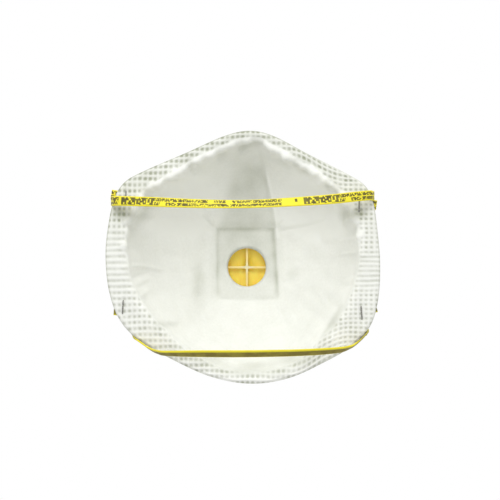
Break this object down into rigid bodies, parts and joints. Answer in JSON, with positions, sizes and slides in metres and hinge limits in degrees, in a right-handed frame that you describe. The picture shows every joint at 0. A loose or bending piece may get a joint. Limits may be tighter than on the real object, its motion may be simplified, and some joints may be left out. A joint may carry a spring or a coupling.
{
  "type": "disposable dust mask",
  "caption": "Moulded cup-shaped disposable dust mask with a rectangular exhalation valve, stapled elastic headbands and a bendable nose clip.",
  "frame": {"origin": "centre of the face opening, in the plane of the rim's side edges, where the mask seals on the face", "axes": "+Z towards the nose as worn, +Y forward out through the valve, +X to the right seen from behind, looking into the cup"},
  "size_m": [0.1414, 0.0785, 0.131],
  "materials": {
    "outer_nonwoven": "matt, fuzzy nonwoven with an embossed rim",
    "filter_meltblown": "matt fine fibre web",
    "liner_nonwoven": "matt, smooth nonwoven",
    "clip_aluminium": "satin",
    "valve_plastic": "satin moulded polypropylene",
    "diaphragm_rubber": "satin silicone",
    "staple_wire": "drawn wire",
    "elastic_strap": "satin elastic strap, finely ribbed along its length"
  },
  "bodies": {
    "mask_body": {"outer_shell": "outer_nonwoven", "filter_layer": "filter_meltblown", "inner_liner": "liner_nonwoven", "nose_clip": "clip_aluminium", "valve_seat": "valve_plastic", "valve_cover": "valve_plastic", "staple_upper_left": "staple_wire", "staple_upper_right": "staple_wire", "staple_lower_left": "staple_wire", "staple_lower_right": "staple_wire", "upper_headband_end_left": "elastic_strap", "upper_headband_end_right": "elastic_strap", "lower_headband_end_left": "elastic_strap", "lower_headband_end_right": "elastic_strap"},
    "diaphragm": {"valve_diaphragm": "diaphragm_rubber"},
    "upper_band": {"upper_headband": "elastic_strap"},
    "lower_band": {"lower_headband": "elastic_strap"}
  },
  "joints": [
    {"name": "diaphragm_flex", "type": "hinge", "parent": "mask_body", "child": "diaphragm", "pos_m": [0, 0.05045, 0.0097], "axis": [1, 0, 0], "range_deg": [0, 12], "stiffness_Nm_per_rad": 0.0001},
    {"name": "upper_headband_swing", "type": "hinge", "parent": "mask_body", "child": "upper_band", "pos_m": [0, -0.0047, 0.028], "axis": [1, 0, 0], "range_deg": [-55, 40], "stiffness_Nm_per_rad": 0.005},
    {"name": "lower_headband_swing", "type": "hinge", "parent": "mask_body", "child": "lower_band", "pos_m": [0, -0.0053, -0.0384], "axis": [1, 0, 0], "range_deg": [-70, 35], "stiffness_Nm_per_rad": 0.005}
  ]
}
